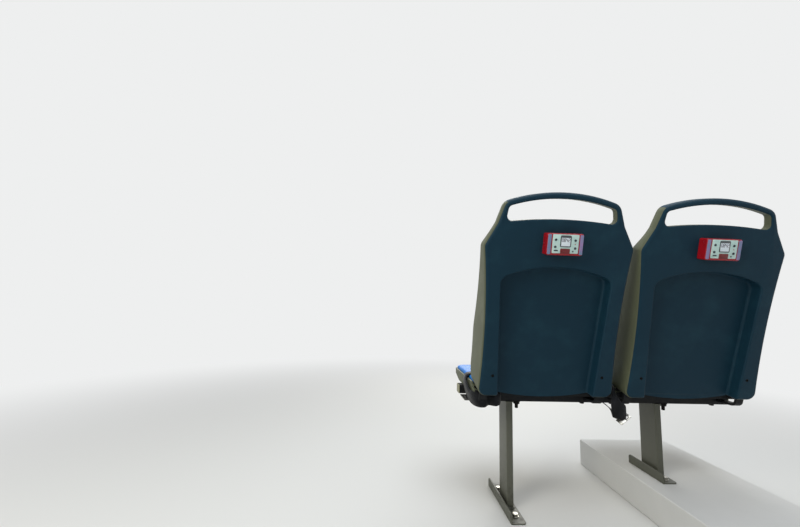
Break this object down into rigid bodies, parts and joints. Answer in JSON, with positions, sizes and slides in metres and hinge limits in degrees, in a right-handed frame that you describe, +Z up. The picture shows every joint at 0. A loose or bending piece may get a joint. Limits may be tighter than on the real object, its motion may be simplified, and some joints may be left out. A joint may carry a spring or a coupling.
{
  "type": "twin passenger seat of an open top double decker bus",
  "caption": "Bucket seats side by side on a bolted steel underframe, with hand-hold slots, blue pads, lap belts and audio guide boxes.",
  "frame": {"origin": "middle of the two bolt holes of the aisle foot, on the floor", "axes": "+Z up, +Y the way the bus travels and the seats face, +X from the aisle towards the wall"},
  "size_m": [0.927, 0.5438, 0.9967],
  "materials": {
    "shell_plastic": "grained moulding, slate grey",
    "pad_cloth": "ribbed vinyl, bright blue",
    "frame_steel": "satin grey paint",
    "cap_plastic": "moulded",
    "anchor_steel": "dark zinc",
    "belt_webbing": "woven webbing, black",
    "buckle_plastic": "moulded, black",
    "tongue_steel": "polished",
    "box_plastic": "moulded, red",
    "face_plastic": "printed foil, off-white"
  },
  "bodies": {
    "root": {"aisle_back_cover": "shell_plastic", "aisle_back_shell": "shell_plastic", "aisle_back_pad": "pad_cloth", "aisle_pan_shell": "shell_plastic", "aisle_seat_pad": "pad_cloth", "aisle_bearer_left": "frame_steel", "aisle_bearer_right": "frame_steel", "aisle_back_arm_left": "frame_steel", "aisle_back_arm_right": "frame_steel", "aisle_belt_anchor_left": "anchor_steel", "aisle_belt_anchor_right": "anchor_steel", "aisle_belt_strap_left": "belt_webbing", "aisle_belt_strap_right": "belt_webbing", "aisle_belt_buckle": "buckle_plastic", "aisle_belt_tongue": "tongue_steel", "aisle_audio_box": "box_plastic", "aisle_audio_face": "face_plastic", "window_back_cover": "shell_plastic", "window_back_shell": "shell_plastic", "window_back_pad": "pad_cloth", "window_pan_shell": "shell_plastic", "window_seat_pad": "pad_cloth", "window_bearer_left": "frame_steel", "window_bearer_right": "frame_steel", "window_back_arm_left": "frame_steel", "window_back_arm_right": "frame_steel", "window_belt_anchor_left": "anchor_steel", "window_belt_anchor_right": "anchor_steel", "window_belt_strap_left": "belt_webbing", "window_belt_strap_right": "belt_webbing", "window_belt_buckle": "buckle_plastic", "window_belt_tongue": "tongue_steel", "window_audio_box": "box_plastic", "window_audio_face": "face_plastic", "rear_tube": "frame_steel", "front_tube": "frame_steel", "rear_tube_cap_aisle": "cap_plastic", "rear_tube_cap_wall": "cap_plastic", "front_tube_cap_aisle": "cap_plastic", "front_tube_cap_wall": "cap_plastic", "tube_link_aisle": "frame_steel", "tube_link_wall": "frame_steel", "aisle_leg": "frame_steel", "wall_leg": "frame_steel", "aisle_foot": "frame_steel", "wall_foot": "frame_steel"}
  },
  "joints": []
}
